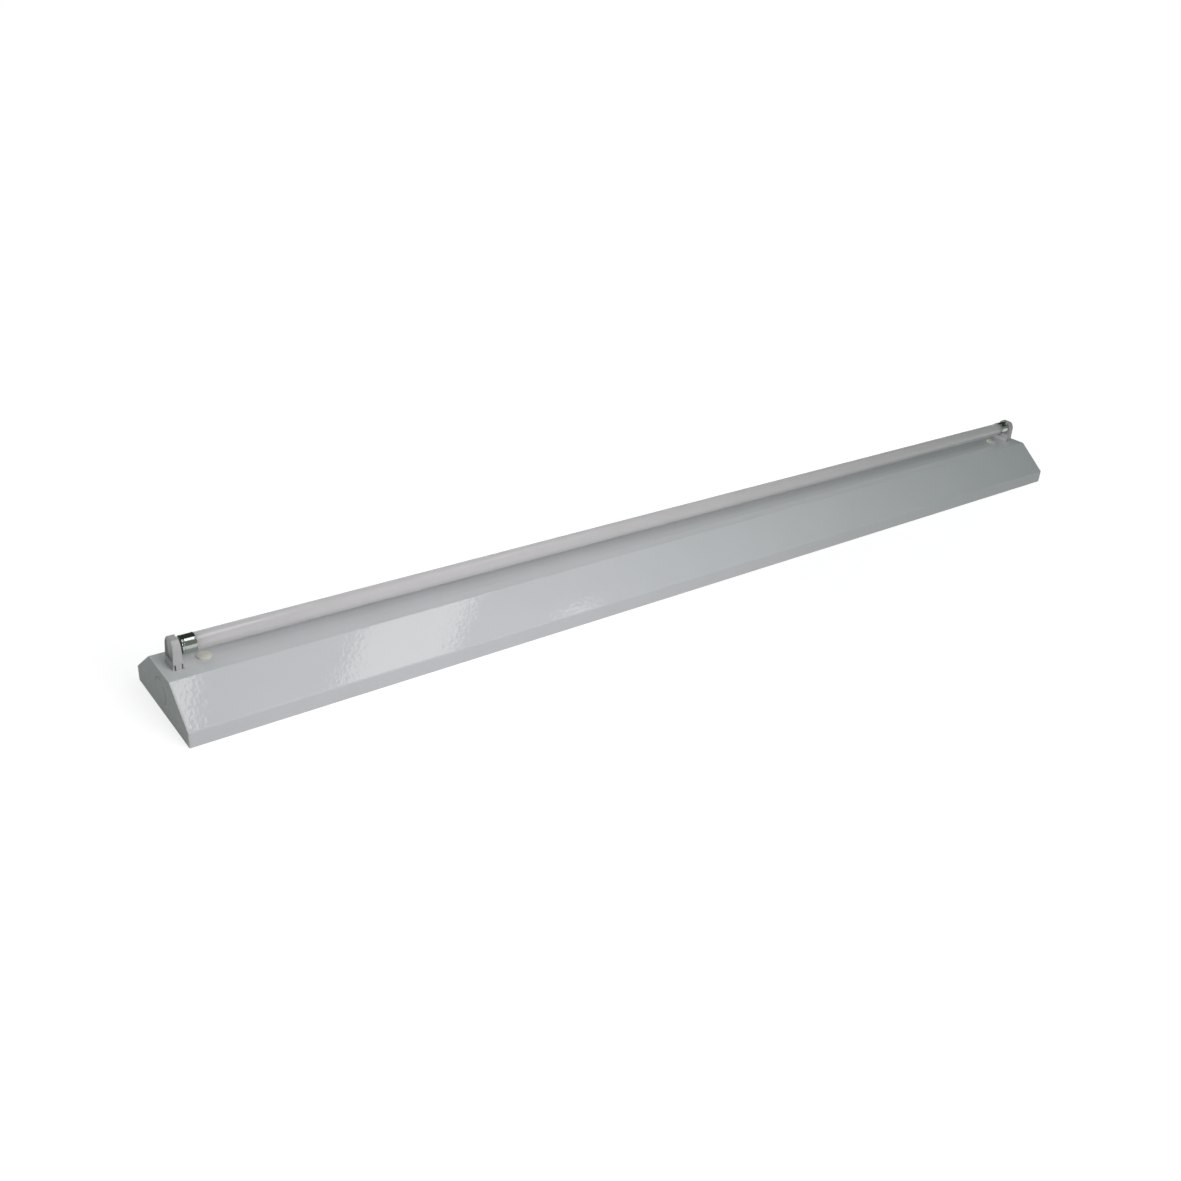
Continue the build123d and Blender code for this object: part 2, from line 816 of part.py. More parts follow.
def make_driver_case():
    """Open channel with an ear at each end for its stud."""
    half = driver_width / 2
    top = lid_underside - driver_sheet - driver_lid_gap
    path = [
        (driver_y + half, top),
        (driver_y + half, tray_sheet),
        (driver_y - half, tray_sheet),
        (driver_y - half, top),
    ]
    case = along_x(bent_strip(path, driver_sheet, bend_radius), driver_start, driver_end)
    low = (driver_start - driver_ear_length, driver_y - driver_ear_width / 2, tray_sheet)
    high = (driver_end + driver_ear_length, driver_y + driver_ear_width / 2, tray_sheet + driver_sheet)
    case += block(low, high)
    for x, y, radius, *_ in stud_places():
        case -= Pos(x, y) * Cylinder(radius + stud_fit, 4 * (tray_sheet + driver_sheet))
    return case


def make_driver_lid():
    """Shallow lid whose lips come down outside the case's walls."""
    half = driver_width / 2 + driver_lid_gap + driver_sheet
    top = tray_sheet + driver_height
    path = [
        (driver_y - half, top - driver_lid_lip),
        (driver_y - half, top),
        (driver_y + half, top),
        (driver_y + half, top - driver_lid_lip),
    ]
    return along_x(bent_strip(path, driver_sheet, driver_sheet), driver_start, driver_end)


def driver_layer(bottom, top):
    """Flat layer that fills the driver's case between two heights."""
    half = driver_inner_width / 2 - bend_radius
    return block((driver_start, driver_y - half, bottom), (driver_end, driver_y + half, top))


def make_driver_terminal(start, mouth, rows):
    """Push-in terminal on the board between its start and its mouth at the case's end."""
    half = driver_inner_width / 2 - driver_board_gap
    xs = sorted((start, mouth))
    low = (xs[0], driver_y - half, driver_board_top)
    body = block(low, (xs[1], driver_y + half, driver_board_top + driver_terminal_height))
    inward = 1 if start > mouth else -1
    for row in rows:
        y = driver_wire_y(row)
        end = (mouth + inward * driver_terminal_hole_depth, y, wire_level)
        body -= rod(wire_radius + wire_hole_clearance, (mouth, y, wire_level), end)
    return body


def make_driver_components():
    """Coils, capacitors and chokes in one row on the board."""
    seat = driver_board_top
    kinds = [coil_length, capacitor_length, choke_size]
    lengths = [kinds[index % len(kinds)] for index in range(component_count)]
    x = driver_x - (sum(lengths) + component_gap * (component_count - 1)) / 2
    parts = []
    for index, length in enumerate(lengths):
        kind = index % len(kinds)
        if kind == 0:
            low = (x, driver_y - coil_width / 2, seat)
            parts.append(block(low, (x + length, driver_y + coil_width / 2, lid_underside - coil_top_gap)))
        elif kind == 1:
            middle = seat + capacitor_radius
            parts.append(rod(capacitor_radius, (x, driver_y, middle), (x + length, driver_y, middle)))
        else:
            low = (x, driver_y - choke_size / 2, seat)
            parts.append(block(low, (x + length, driver_y + choke_size / 2, seat + choke_size)))
        x += length + component_gap
    return group(parts)


def terminal_poles():
    middle = (terminal_pole_count - 1) / 2
    return [terminal_x + (pole - middle) * terminal_pitch for pole in range(terminal_pole_count)]


def clamp_screw_places():
    return [
        (x, terminal_y + side * clamp_screw_spacing / 2) for x in terminal_poles() for side in (-1, 1)
    ]


def make_terminal_block():
    """Three-pole block with a sleeve hole through each pole and two stud holes."""
    half_length = terminal_pole_count * terminal_pitch / 2 + terminal_end_wall
    half_width = terminal_width / 2
    top = tray_sheet + terminal_height
    low = (terminal_x - half_length, terminal_y - half_width, tray_sheet)
    body = block(low, (terminal_x + half_length, terminal_y + half_width, top))
    for x in terminal_poles():
        start = (x, terminal_y - half_width, wire_level)
        body -= rod(sleeve_radius + sleeve_fit, start, (x, terminal_y + half_width, wire_level))
    for x, y in clamp_screw_places():
        body -= rod(clamp_screw_head_radius + clamp_screw_fit, (x, y, wire_level), (x, y, top))
    pocket = small_nut_width / sqrt(3) + small_nut_pocket_clearance
    for x, y, radius, *_ in stud_places():
        body -= rod(radius + stud_fit, (x, y, tray_sheet), (x, y, top))
        body -= rod(pocket, (x, y, tray_sheet + terminal_floor_height), (x, y, top))
    return body


def make_terminal_sleeves():
    sleeves = []
    for x in terminal_poles():
        start = (x, terminal_y - sleeve_length / 2, wire_level)
        end = (x, terminal_y + sleeve_length / 2, wire_level)
        sleeve = rod(sleeve_radius, start, end) - rod(sleeve_bore_radius, start, end)
        for screw_x, y in clamp_screw_places():
            hole = clamp_screw_radius + clamp_screw_fit
            sleeve -= rod(hole, (screw_x, y, wire_level), (screw_x, y, wire_level + 2 * sleeve_radius))
        sleeves.append(sleeve)
    return group(sleeves)


def make_terminal_screws():
    """Clamp screws that press on the wires through the sleeves."""
    tip = wire_level + wire_radius + clamp_screw_fit
    neck = tip + clamp_screw_shank_length
    screws = []
    for x, y in clamp_screw_places():
        shank = rod(clamp_screw_radius, (x, y, tip), (x, y, neck))
        head = rod(clamp_screw_head_radius, (x, y, neck), (x, y, neck + clamp_screw_head_height))
        screws.append(shank + head)
    return group(screws)


def make_studs():
    """Studs set flush with the mounting face; the earth stud has a collar under its lug."""
    studs = []
    for x, y, radius, width, height, seat in stud_places():
        studs.append(rod(radius, (x, y, 0), (x, y, seat + height + stud_end)))
    collar_top = wire_level - lug_thickness / 2
    studs[-1] += rod(lug_radius, (earth_x, earth_y, tray_sheet), (earth_x, earth_y, collar_top))
    return group(studs)


def make_nuts():
    nuts = []
    for x, y, radius, width, height, seat in stud_places():
        section = RegularPolygon(width / 2, 6, major_radius=False) - Circle(radius + stud_fit)
        nuts.append(Pos(x, y, seat) * extrude(section, amount=height))
    return group(nuts)


def lug_barrel_end():
    return earth_x - lug_radius - lug_neck_length - lug_barrel_length


def make_earth_lug():
    """Ring lug with a crimped barrel on the earth wire."""
    low = wire_level - lug_thickness / 2
    high = wire_level + lug_thickness / 2
    ring = rod(lug_radius, (earth_x, earth_y, low), (earth_x, earth_y, high))
    barrel_mouth = lug_barrel_end()
    barrel_floor = barrel_mouth + lug_barrel_length
    neck = block(
        (barrel_floor, earth_y - lug_barrel_radius, low),
        (earth_x, earth_y + lug_barrel_radius, high),
    )
    barrel = rod(
        lug_barrel_radius, (barrel_mouth, earth_y, wire_level), (barrel_floor, earth_y, wire_level)
    )
    bore_end = barrel_floor - lug_thickness
    barrel -= rod(
        wire_radius + lug_wire_fit,
        (barrel_mouth, earth_y, wire_level),
        (bore_end, earth_y, wire_level),
    )
    hole = rod(stud_radius + stud_fit, (earth_x, earth_y, low), (earth_x, earth_y, high))
    return ring + neck + barrel - hole


def supply_route(pole, corner_y, end_x):
    """Route from a pole of the terminal block, forwards and then along the tray."""
    x = terminal_poles()[pole]
    start_y = terminal_y - sleeve_length / 2 + sleeve_wire_depth
    return [(x, start_y, wire_level), (x, corner_y, wire_level), (end_x, corner_y, wire_level)]


def holder_wire_top():
    return chamber_bottom + holder_wire_reach


def front_route(row, level, side):
    """Route from the driver along the front of the tray to the left holder."""
    start = driver_start + driver_terminal_setback + driver_wire_depth
    y = driver_wire_y(row)
    mouth = driver_start - wire_drop_start
    end_y = side * holder_wire_spacing / 2
    route = [(start, y, wire_level)]
    if level != wire_level:
        route += [(mouth, y, wire_level), (mouth - wire_drop_length, y, level)]
    route += [
        (-holder_wire_x, y, level),
        (-holder_wire_x, end_y, level),
        (-holder_wire_x, end_y, holder_wire_top()),
    ]
    return route


def back_route(row, level, side, turn_x, run_y):
    """Route from the driver across the tray and along its back to the right holder."""
    start = driver_start + driver_terminal_setback + driver_wire_depth
    y = driver_wire_y(row)
    end_y = side * holder_wire_spacing / 2
    return [
        (start, y, wire_level),
        (turn_x, y, wire_level),
        (turn_x, run_y, level),
        (holder_wire_x, run_y, level),
        (holder_wire_x, end_y, level),
        (holder_wire_x, end_y, holder_wire_top()),
    ]


def wire_along(route):
    """Wire with wide bends on the tray and a tighter one where it rises to a holder."""
    bends = [wire_bend_radius] * (len(route) - 2)
    if route[-1][2] != route[-2][2]:
        bends[-2:] = [riser_bend_radius] * 2
    return tube(route, bends, wire_diameter)


def make_clip(x, high_y, low_y):
    """Saddle on the tray that holds one wire high and one low."""
    ys = sorted((high_y, low_y))
    top = wire_level + wire_radius + clip_roof
    low = (x - clip_length / 2, ys[0] - clip_margin, tray_sheet)
    clip = block(low, (x + clip_length / 2, ys[1] + clip_margin, top))
    for y, level in ((high_y, wire_level), (low_y, low_wire_level)):
        start = (x - clip_length / 2, y, level)
        clip -= rod(wire_radius + clip_fit, start, (x + clip_length / 2, y, level))
    return clip


def make_clips():
    clips = []
    for index in range(front_clip_count):
        x = back_wire_turn_x - front_clip_start - index * front_clip_pitch
        clips.append(make_clip(x, driver_wire_y(1), driver_wire_y(0)))
    for index in range(back_clip_count):
        x = back_wire_turn_x + back_clip_start + index * back_clip_pitch
        clips.append(make_clip(x, inner_wire_y, outer_wire_y))
    return group(clips)


def save_wires():
    """Supply wires to the driver and the earth stud, and two wires to each holder."""
    driver_mouth = driver_end - driver_terminal_setback - driver_wire_depth
    save("wire_live", wire_along(supply_route(0, driver_wire_y(2), driver_mouth)))
    save("wire_neutral", wire_along(supply_route(1, driver_wire_y(1), driver_mouth)))
    earth_end = lug_barrel_end() + lug_barrel_length - 2 * lug_thickness
    save("wire_earth", wire_along(supply_route(2, earth_y, earth_end)))
    save("wire_left_front", wire_along(front_route(1, wire_level, -1)))
    save("wire_left_back", wire_along(front_route(0, low_wire_level, 1)))
    outer_turn = back_wire_turn_x - back_wire_turn_step
    save("wire_right_back", wire_along(back_route(3, wire_level, 1, back_wire_turn_x, inner_wire_y)))
    save("wire_right_front", wire_along(back_route(2, low_wire_level, -1, outer_turn, outer_wire_y)))


def save_driver():
    save("driver_case", make_driver_case())
    save("driver_lid", make_driver_lid())
    save("driver_liner", driver_layer(tray_sheet + driver_sheet, driver_board_bottom))
    save("driver_board", driver_layer(driver_board_bottom, driver_board_top))
    save("driver_components", make_driver_components())
    end = driver_end - driver_terminal_setback
    save("driver_input_terminal", make_driver_terminal(end - driver_terminal_length, end, (1, 2)))
    start = driver_start + driver_terminal_setback
    rows = range(driver_wire_count)
    save("driver_output_terminal", make_driver_terminal(start + driver_terminal_length, start, rows))


def main():
    os.makedirs("parts", exist_ok=True)
    save("base_tray", make_tray())
    save("cable_grommet", make_grommet())
    save("reflector_cover", make_cover())
    save_pair("end_cap", make_end_cap())
    save_pair("knob_bracket", make_bracket())
    save("bracket_rivets", make_rivets())
    save_pair("cover_knob", make_knob())
    save_pair("holder_housing", make_holder_housing())
    save_pair("holder_rotor", make_rotor())
    save_pair("holder_contacts", make_contacts())
    save_pair("holder_back_plate", make_back_plate())
    save("lamp_tube", make_lamp_tube())
    save_pair("lamp_cap", make_lamp_cap())
    save_pair("cap_insulator", make_cap_insulator())
    save_pair("lamp_pins", make_pins())
    save("led_board", make_led_board())
    save("led_chips", make_led_chips())
    save("lamp_leads", make_lamp_leads())
    save_driver()
    save("terminal_block", make_terminal_block())
    save("terminal_sleeves", make_terminal_sleeves())
    save("terminal_screws", make_terminal_screws())
    save("tray_studs", make_studs())
    save("stud_nuts", make_nuts())
    save("earth_lug", make_earth_lug())
    save("wire_clips", make_clips())
    save_wires()


main()
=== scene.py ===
from math import pi, radians

import bmesh
import bpy
from mathutils import Matrix, Quaternion, Vector


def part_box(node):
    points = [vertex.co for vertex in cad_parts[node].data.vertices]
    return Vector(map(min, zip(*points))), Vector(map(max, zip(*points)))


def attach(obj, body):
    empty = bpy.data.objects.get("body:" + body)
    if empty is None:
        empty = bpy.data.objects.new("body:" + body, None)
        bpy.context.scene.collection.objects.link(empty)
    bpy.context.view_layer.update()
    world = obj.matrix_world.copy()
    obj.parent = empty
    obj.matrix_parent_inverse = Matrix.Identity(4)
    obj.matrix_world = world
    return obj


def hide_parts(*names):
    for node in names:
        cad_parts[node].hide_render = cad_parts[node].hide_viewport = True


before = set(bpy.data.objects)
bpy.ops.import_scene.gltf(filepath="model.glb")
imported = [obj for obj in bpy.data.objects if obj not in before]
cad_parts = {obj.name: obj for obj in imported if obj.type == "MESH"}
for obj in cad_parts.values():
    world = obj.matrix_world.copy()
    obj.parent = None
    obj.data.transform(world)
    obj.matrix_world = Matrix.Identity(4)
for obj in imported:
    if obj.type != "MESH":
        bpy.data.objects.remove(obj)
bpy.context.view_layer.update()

bl_info = {
    "name": "Batten light",
    "version": (1, 0, 0),
    "blender": (4, 5, 0),
    "location": "3D View > Sidebar > Batten",
    "description": "Finishes and fine pieces of a single-lamp batten light, with its studio",
    "category": "Object",
}

# One millimetre in the scene's metres
MM = 0.001

# The lamp in the frame
CAP_LOW, CAP_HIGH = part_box("lamp_cap_right")
TUBE_LOW, TUBE_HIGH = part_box("lamp_tube")
LAMP_AXIS = (TUBE_LOW.z + TUBE_HIGH.z) / 2
ENDS = {"left": -1, "right": 1}

# Turned pieces: steps over a rounded corner, and the bend that stays a sharp edge
ROUNDING_STEPS = 5
SHARP_BEND = radians(40)

# Colour and roughness run between these values of a pattern
PATTERN_LOW, PATTERN_HIGH = 0.3, 0.7
UNSTRETCHED = (1.0, 1.0, 1.0)

# Depth of the paint's orange peel and of the waves in the sheet, in millimetres
PEEL_DEPTH, WAVE_DEPTH = 0.07, 0.06

# Studio, in metres: height of the overhead panels and half width of the floor
CEILING = 1.4
FLOOR_REACH = 30.0

# The canopy's glow falls from full to faint between these shares of its radius, along Y
GLOW_FULL, GLOW_FAINT = -0.75, -0.55
CANOPY_FACETS = 32

WHITE = (1.0, 1.0, 1.0)
BLACK = (0.0, 0.0, 0.0)


def length(name, text, millimetres):
    """Property for a length, given in millimetres."""
    return bpy.props.FloatProperty(
        name=name, description=text, default=millimetres * MM, unit="LENGTH", precision=5
    )


def colour(name, text, value):
    """Property for a plain colour."""
    return bpy.props.FloatVectorProperty(
        name=name, description=text, default=value, size=3, subtype="COLOR", min=0.0, max=1.0
    )


def place(name, text, value):
    """Property for a point in the light's own frame."""
    return bpy.props.FloatVectorProperty(
        name=name, description=text, default=value, size=3, subtype="TRANSLATION", unit="LENGTH"
    )


def strength(name, text, value):
    """Property for a share of full white."""
    return bpy.props.FloatProperty(
        name=name, description=text, default=value, subtype="FACTOR", precision=4
    )


def power(name, text, value):
    """Property for a light's power in watts."""
    return bpy.props.FloatProperty(name=name, description=text, default=value, unit="POWER")


def optic(name, text, value):
    """Property for a size of the camera in millimetres."""
    return bpy.props.FloatProperty(name=name, description=text, default=value, unit="CAMERA")


class BattenShape(bpy.types.PropertyGroup):
    """Sizes of the pieces that are turned on the lamp's axis."""

    turns: bpy.props.IntProperty(
        name="Turned facets",
        description="Facets round a turned piece",
        default=112,
        min=24,
        max=256,
    )
    glass_edge: length("Glass edge", "Rounding of the tube's fire-polished ends", 0.35)
    cap_wall: length("Cap wall", "Thickness of the drawn cap", 0.25)
    cap_bead: length("Cap bead", "Width of the bead at a cap's mouth", 1.2)
    cap_bead_rise: length("Cap bead rise", "How far the bead stands out of the cap's body", 0.2)
    cap_groove_place: length("Cap groove place", "From the end face to the rolled groove", 2.6)
    cap_groove_width: length("Cap groove width", "Width of the rolled groove", 1.0)
    cap_groove_dip: length("Cap groove dip", "Depth of the rolled groove in the cap's body", 0.25)
    cap_round: length("Cap rounding", "Rounding of the beads and the groove", 0.3)
    cap_shoulder: length("Cap shoulder", "Rounding of the cap's end face", 0.95)
    cap_opening: length("Cap opening", "Radius of the opening in the cap's end face", 5.1)


class BattenFinish(bpy.types.PropertyGroup):
    """Colours of the finishes that show from outside."""

    paint: colour("Paint", "Gloss white powder coat", (0.66, 0.68, 0.685))
    end_cap: colour("End caps", "Moulded end caps", (0.64, 0.655, 0.65))
    holder: colour("Holders", "Moulded lamp holders", (0.535, 0.53, 0.53))
    button: colour("Buttons", "Quarter-turn cover buttons", (0.70, 0.70, 0.62))
    tube: colour("Tube", "White diffusing coat of the tube", (0.54, 0.53, 0.53))
    cap_metal: colour("Cap metal", "Bright drawn lamp caps", (0.42, 0.45, 0.42))
    zinc: colour("Zinc", "Zinc-plated sheet", (0.56, 0.57, 0.58))


class BattenInside(bpy.types.PropertyGroup):
    """Colours of the pieces inside."""

    contact: colour("Contacts", "Bronze contact strips of the holders", (0.72, 0.55, 0.3))
    pin: colour("Pins", "Brass pins of the lamp", (0.75, 0.6, 0.32))
    insulator: colour("Cap insulators", "Phenolic insulators of the lamp caps", (0.16, 0.1, 0.06))
    led_board: colour("LED board", "White mask of the LED board", (0.78, 0.79, 0.78))
    led_chip: colour("LED chips", "Yellow phosphor of the chips", (0.85, 0.68, 0.2))
    lamp_lead: colour("Lamp leads", "Insulation of the lamp's leads", (0.75, 0.75, 0.73))
    brass: colour("Brass", "Earth lug and terminal sleeves", (0.75, 0.6, 0.34))
    rubber: colour("Rubber", "Grommet in the cable entry", (0.025, 0.025, 0.027))
    driver_sheet: colour("Driver sheet", "Case and lid of the driver", (0.66, 0.67, 0.68))
    liner: colour("Liner", "Insulating liner of the driver", (0.05, 0.05, 0.055))
    circuit_board: colour("Circuit board", "Board of the driver", (0.05, 0.2, 0.09))
    potting: colour("Potted parts", "Components on the driver's board", (0.04, 0.04, 0.045))
    terminal: colour("Terminals", "Terminal blocks and wire clips", (0.72, 0.72, 0.7))
    live: colour("Live wire", "Brown insulation", (0.16, 0.07, 0.03))
    neutral: colour("Neutral wire", "Blue insulation", (0.03, 0.1, 0.42))
    earth: colour("Earth wire", "Green insulation", (0.1, 0.38, 0.06))
    earth_stripe: colour("Earth stripe", "Yellow stripe of the earth wire", (0.75, 0.62, 0.05))
    front_wire: colour("Front wires", "White insulation", (0.75, 0.75, 0.73))
    back_wire: colour("Back wires", "Red insulation", (0.5, 0.04, 0.035))


class BattenStudio(bpy.types.PropertyGroup):
    """Camera, lights, floor and canopy."""

    camera_place: place("Camera place", "Where the camera stands", (-0.8365, -0.8644, 0.5870))
    camera_aim: place("Camera aim", "Middle of the picture", (-0.1882, -0.0646, 0.0400))
    camera_roll: bpy.props.FloatProperty(
        name="Camera roll",
        description="Turn about the line of sight",
        default=radians(4.32),
        subtype="ANGLE",
    )
    camera_film: optic("Camera film", "Width of the picture in millimetres", 36.0)
    camera_lens: optic("Camera lens", "Focal length in millimetres", 35.8)
    panel_watts: power("Panel watts", "Power of the long overhead panel", 1.85)
    end_panel_watts: power("End panel watts", "Power of the panel over the left half", 2.1)
    far_panel_watts: power("Far panel watts", "Power of the panel off the right end", 0.36)
    strip_watts: power("Strip watts", "Power of the long ceiling strip", 1.6)
    key_watts: power("Key watts", "Power of the soft light in front", 4.2)
    top_watts: power("Top watts", "Power of the soft light above", 1.0)
    back_watts: power("Back watts", "Power of the soft light behind", 14.0)
    side_watts: power("Side watts", "Power of the soft light beyond the right end", 5.5)
    flash_watts: power("Flash watts", "Power of the small light beside the camera", 1.2)
    key_tint: colour("Key tint", "Colour of all soft lights but the top one", (1.0, 0.93, 0.99))
    fill: strength("Fill", "Strength of the even light from all round", 0.18)
    fill_tint: colour("Fill tint", "Colour of the even light", (0.79, 1.0, 0.90))
    floor_colour: colour("Floor colour", "Colour that the floor gives back", (0.4, 0.4, 0.4))
    # Painted light: the floor glows less round its middle by the part and more far off, making up
    # for the lamps' light that falls away
    floor_middle: place("Floor middle", "Where the lifts are measured from", (-0.3, -0.1, 0.0))
    floor_near: strength("Floor lift near", "White that the floor adds round its middle", 0.77)
    floor_far: strength("Floor lift far", "White that the floor adds far from its middle", 0.94)
    floor_near_reach: length("Floor near reach", "How far the near lift goes", 400.0)
    floor_far_reach: length("Floor far reach", "Where the far lift begins", 1350.0)
    canopy_radius: length("Canopy radius", "Radius of the dark canopy", 2200.0)
    canopy_reach: length("Canopy reach", "Half length of the dark canopy", 28000.0)
    canopy_front: strength("Canopy glow in front", "Glow of the canopy low in front", 0.32)
    canopy_top: strength("Canopy glow above", "Glow of the canopy above and behind", 0.06)
    canopy_tint: colour("Canopy tint", "Colour of the canopy's glow", (0.92, 1.0, 0.94))


def settings(group):
    """Values of one of the property groups."""
    return getattr(bpy.context.scene, group)


def both(node):
    """Names of a node's left and right copies."""
    return [f"{node}_{end}" for end in ENDS]


def shade(base, factor):
    """Colour made darker or lighter."""
    return tuple(channel * factor for channel in base)


def link_piece(name, mesh, finish, body, slot_name, *nodes):
    """Put a finished mesh in the scene as a piece that stands for the named nodes."""
    mesh.materials.append(finish)
    piece = bpy.data.objects.new(name, mesh)
    bpy.context.scene.collection.objects.link(piece)
    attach(piece, body)
    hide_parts(*nodes)


def dress(finish, *nodes):
    """Give solids of the frame a finish."""
    for node in nodes:
        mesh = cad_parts[node].data
        mesh.materials.clear()
        mesh.materials.append(finish)


def plain_mesh(bm, name):
    """Mesh of a bmesh, which is freed."""
    mesh = bpy.data.meshes.new(name)
    bm.to_mesh(mesh)
    bm.free()
    return mesh


def turned_mesh(name, corners, closed):
    """Mesh turned about the lamp's axis from corners of X, radius and rounding."""
    bm = bmesh.new()
    verts = [bm.verts.new((x, 0, LAMP_AXIS + radius)) for x, radius, _ in corners]
    for first, second in zip(verts, verts[1:]):
        bm.edges.new((first, second))
    if closed:
        bm.edges.new((verts[-1], verts[0]))
    for vert, (_, _, rounding) in zip(verts, corners):
        if rounding:
            bmesh.ops.bevel(
                bm,
                geom=[vert],
                offset=rounding,
                offset_type="OFFSET",
                segments=ROUNDING_STEPS,
                profile=0.5,
                affect="VERTICES",
                material=-1,
            )
    bmesh.ops.spin(
        bm,
        geom=bm.verts[:] + bm.edges[:],
        cent=(0, 0, LAMP_AXIS),
        axis=(1, 0, 0),
        angle=2 * pi,
        steps=settings("batten_shape").turns,
        use_merge=True,
    )
    bmesh.ops.remove_doubles(bm, verts=bm.verts[:], dist=MM / 1000)
    bmesh.ops.recalc_face_normals(bm, faces=bm.faces[:])
    for face in bm.faces:
        face.smooth = True
    for edge in bm.edges:
        edge.smooth = edge.calc_face_angle(0) < SHARP_BEND
    return plain_mesh(bm, name)


def new_finish(name, base, roughness, metallic=0.0, specular=0.5):
    """Material with a principled shader; returns it with its node tree and shader."""
    material = bpy.data.materials.new(name)
    material.use_nodes = True
    shader = material.node_tree.nodes["Principled BSDF"]
    shader.inputs["Base Color"].default_value = (*base, 1.0)
    shader.inputs["Roughness"].default_value = roughness
    shader.inputs["Metallic"].default_value = metallic
    shader.inputs["Specular IOR Level"].default_value = specular
    return material, material.node_tree, shader


def pattern_place(tree, stretch=UNSTRETCHED):
    """Place in the light's own frame, stretched along its axes."""
    coordinates = tree.nodes.new("ShaderNodeTexCoord")
    mapping = tree.nodes.new("ShaderNodeMapping")
    mapping.inputs["Scale"].default_value = stretch
    tree.links.new(coordinates.outputs["Object"], mapping.inputs["Vector"])
    return mapping.outputs["Vector"]


def grain(tree, size, stretch=UNSTRETCHED, detail=2.0):
    """Noise whose features are about as large as a size in millimetres."""
    noise = tree.nodes.new("ShaderNodeTexNoise")
    noise.inputs["Scale"].default_value = 1 / (size * MM)
    noise.inputs["Detail"].default_value = detail
    tree.links.new(pattern_place(tree, stretch), noise.inputs["Vector"])
    return noise.outputs["Fac"]


def spread(tree, value, from_range, to_range):
    """Value carried from one range over to another, held at its ends."""
    carry = tree.nodes.new("ShaderNodeMapRange")
    carry.inputs["From Min"].default_value, carry.inputs["From Max"].default_value = from_range
    carry.inputs["To Min"].default_value, carry.inputs["To Max"].default_value = to_range
    tree.links.new(value, carry.inputs["Value"])
    return carry.outputs["Result"]


def vary_colour(tree, shader, factor, dark, light):
    """Let the base colour run from dark to light with a pattern."""
    ramp = tree.nodes.new("ShaderNodeValToRGB")
    ramp.color_ramp.elements[0].position = PATTERN_LOW
    ramp.color_ramp.elements[0].color = (*dark, 1.0)
    ramp.color_ramp.elements[1].position = PATTERN_HIGH
    ramp.color_ramp.elements[1].color = (*light, 1.0)
    tree.links.new(factor, ramp.inputs["Fac"])
    tree.links.new(ramp.outputs["Color"], shader.inputs["Base Color"])


def vary_roughness(tree, shader, factor, low, high):
    """Let the roughness run from low to high with a pattern."""
    roughness = spread(tree, factor, (PATTERN_LOW, PATTERN_HIGH), (low, high))
    tree.links.new(roughness, shader.inputs["Roughness"])


def relief(tree, shader, *layers):
    """Raise the surface by patterns, each with its depth in millimetres."""
    normal = None
    for height, depth in layers:
        bump = tree.nodes.new("ShaderNodeBump")
        bump.inputs["Distance"].default_value = depth * MM
        tree.links.new(height, bump.inputs["Height"])
        if normal is not None:
            tree.links.new(normal, bump.inputs["Normal"])
        normal = bump.outputs["Normal"]
    tree.links.new(normal, shader.inputs["Normal"])


def powder_coat(name, base, roughness):
    """Stoved white paint: fine orange peel on gently wavy sheet."""
    material, tree, shader = new_finish(name, base, roughness)
    cloud = grain(tree, size=60.0, detail=4.0)
    vary_colour(tree, shader, cloud, shade(base, 0.985), shade(base, 1.015))
    haze = grain(tree, size=9.0, detail=4.0)
    vary_roughness(tree, shader, haze, roughness * 0.85, roughness * 1.2)
    peel = grain(tree, size=3.4, detail=1.0)
    wave = grain(tree, size=70.0, stretch=(0.4, 1.0, 1.0), detail=0.0)
    relief(tree, shader, (peel, PEEL_DEPTH), (wave, WAVE_DEPTH))
    return material


def moulded_plastic(name, base, roughness, specular=0.5, depth=0.01):
    """Moulded plastic: faint clouds and a fine etched surface."""
    material, tree, shader = new_finish(name, base, roughness, specular=specular)
    cloud = grain(tree, size=8.0, detail=3.0)
    vary_colour(tree, shader, cloud, shade(base, 0.97), shade(base, 1.03))
    fine = grain(tree, size=0.6)
    vary_roughness(tree, shader, fine, roughness * 0.85, roughness * 1.15)
    relief(tree, shader, (fine, depth))
    return material


def coated_tube(name, base, scatter=40.0):
    """White diffusing coat behind clear polished glass, with its scatter in millimetres."""
    material, tree, shader = new_finish(name, base, roughness=0.5, specular=0.2)
    cloud = grain(tree, size=25.0, stretch=(0.3, 1.0, 1.0), detail=4.0)
    vary_colour(tree, shader, cloud, shade(base, 0.985), shade(base, 1.01))
    vary_roughness(tree, shader, grain(tree, size=2.0), 0.42, 0.58)
    shader.inputs["Subsurface Weight"].default_value = 1.0
    shader.inputs["Subsurface Radius"].default_value = (1.0, 1.0, 1.0)
    shader.inputs["Subsurface Scale"].default_value = scatter * MM
    shader.inputs["Coat Weight"].default_value = 1.0
    shader.inputs["Coat Roughness"].default_value = 0.04
    shader.inputs["Coat IOR"].default_value = 1.5
    return material


def drawn_metal(name, base, depth=0.002):
    """Bright drawn metal with fine rings round the lamp's axis."""
    material, tree, shader = new_finish(name, base, roughness=0.12, metallic=1.0)
    cloud = grain(tree, size=3.0, detail=4.0)
    vary_colour(tree, shader, cloud, shade(base, 0.94), shade(base, 1.03))
    rings = grain(tree, size=0.5, stretch=(1.0, 0.04, 0.04), detail=3.0)
    vary_roughness(tree, shader, rings, 0.1, 0.18)
    relief(tree, shader, (rings, depth))
    return material


